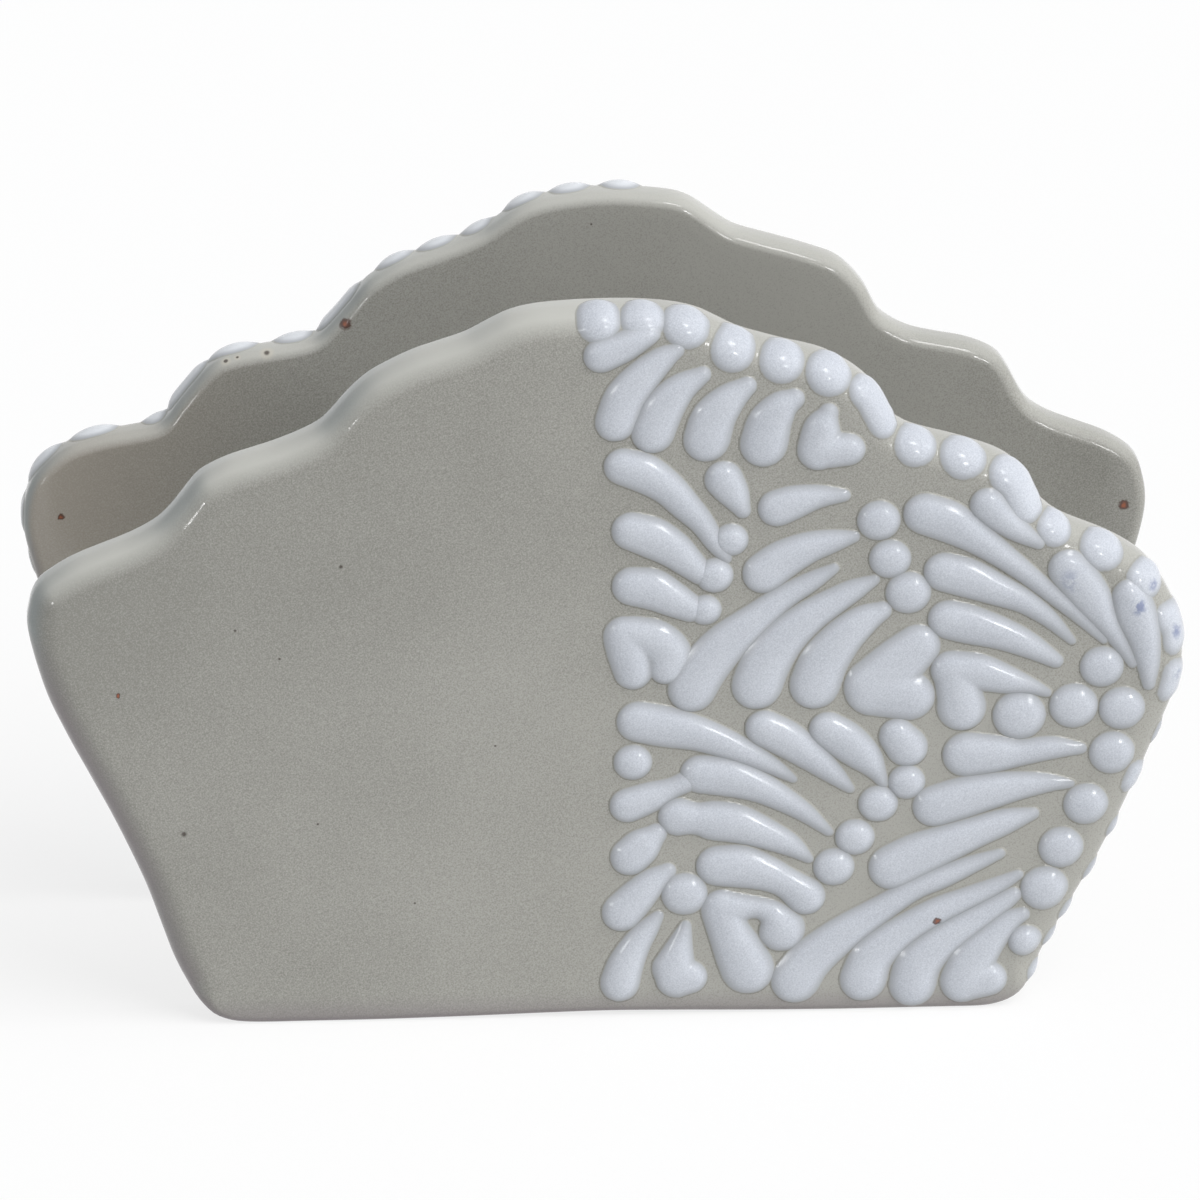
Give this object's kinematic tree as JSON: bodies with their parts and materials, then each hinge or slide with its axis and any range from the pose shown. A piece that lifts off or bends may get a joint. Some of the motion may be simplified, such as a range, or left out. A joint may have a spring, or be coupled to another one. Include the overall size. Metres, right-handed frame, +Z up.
{
  "type": "napkin holder",
  "caption": "Upright glazed earthenware napkin holder with two fan-shaped walls on a floor slab, open at the ends and top, with raised slip feathers on half of each outer face.",
  "frame": {"origin": "middle of the footprint, on the surface that the holder stands on", "axes": "+X along the walls, to the right as seen from the front; the front wall is at -Y and faces -Y; +Z up"},
  "size_m": [0.1801, 0.0644, 0.1188],
  "materials": {
    "grey_glaze": "semi-gloss grey-beige glaze with fine specks",
    "white_slip": "raised white slip under a clear gloss glaze"
  },
  "bodies": {
    "root": {"front_wall": "grey_glaze", "back_wall": "grey_glaze", "floor": "grey_glaze", "front_seam": "grey_glaze", "back_seam": "grey_glaze", "front_rim_beads": "white_slip", "front_edge_beads": "white_slip", "front_top_feathers": "white_slip", "front_left_feathers": "white_slip", "front_centre_plume": "white_slip", "front_corner_feathers": "white_slip", "front_side_feathers": "white_slip", "front_foot_feathers": "white_slip", "front_middle_drops": "white_slip", "front_lower_feathers": "white_slip", "front_foot_drops": "white_slip", "front_crown_dots": "white_slip", "front_side_dots": "white_slip", "front_left_dots": "white_slip", "front_lower_dots": "white_slip", "back_rim_beads": "white_slip", "back_edge_beads": "white_slip", "back_top_feathers": "white_slip", "back_left_feathers": "white_slip", "back_centre_plume": "white_slip", "back_corner_feathers": "white_slip", "back_side_feathers": "white_slip", "back_foot_feathers": "white_slip", "back_middle_drops": "white_slip", "back_lower_feathers": "white_slip", "back_foot_drops": "white_slip", "back_crown_dots": "white_slip", "back_side_dots": "white_slip", "back_left_dots": "white_slip", "back_lower_dots": "white_slip"}
  },
  "joints": []
}
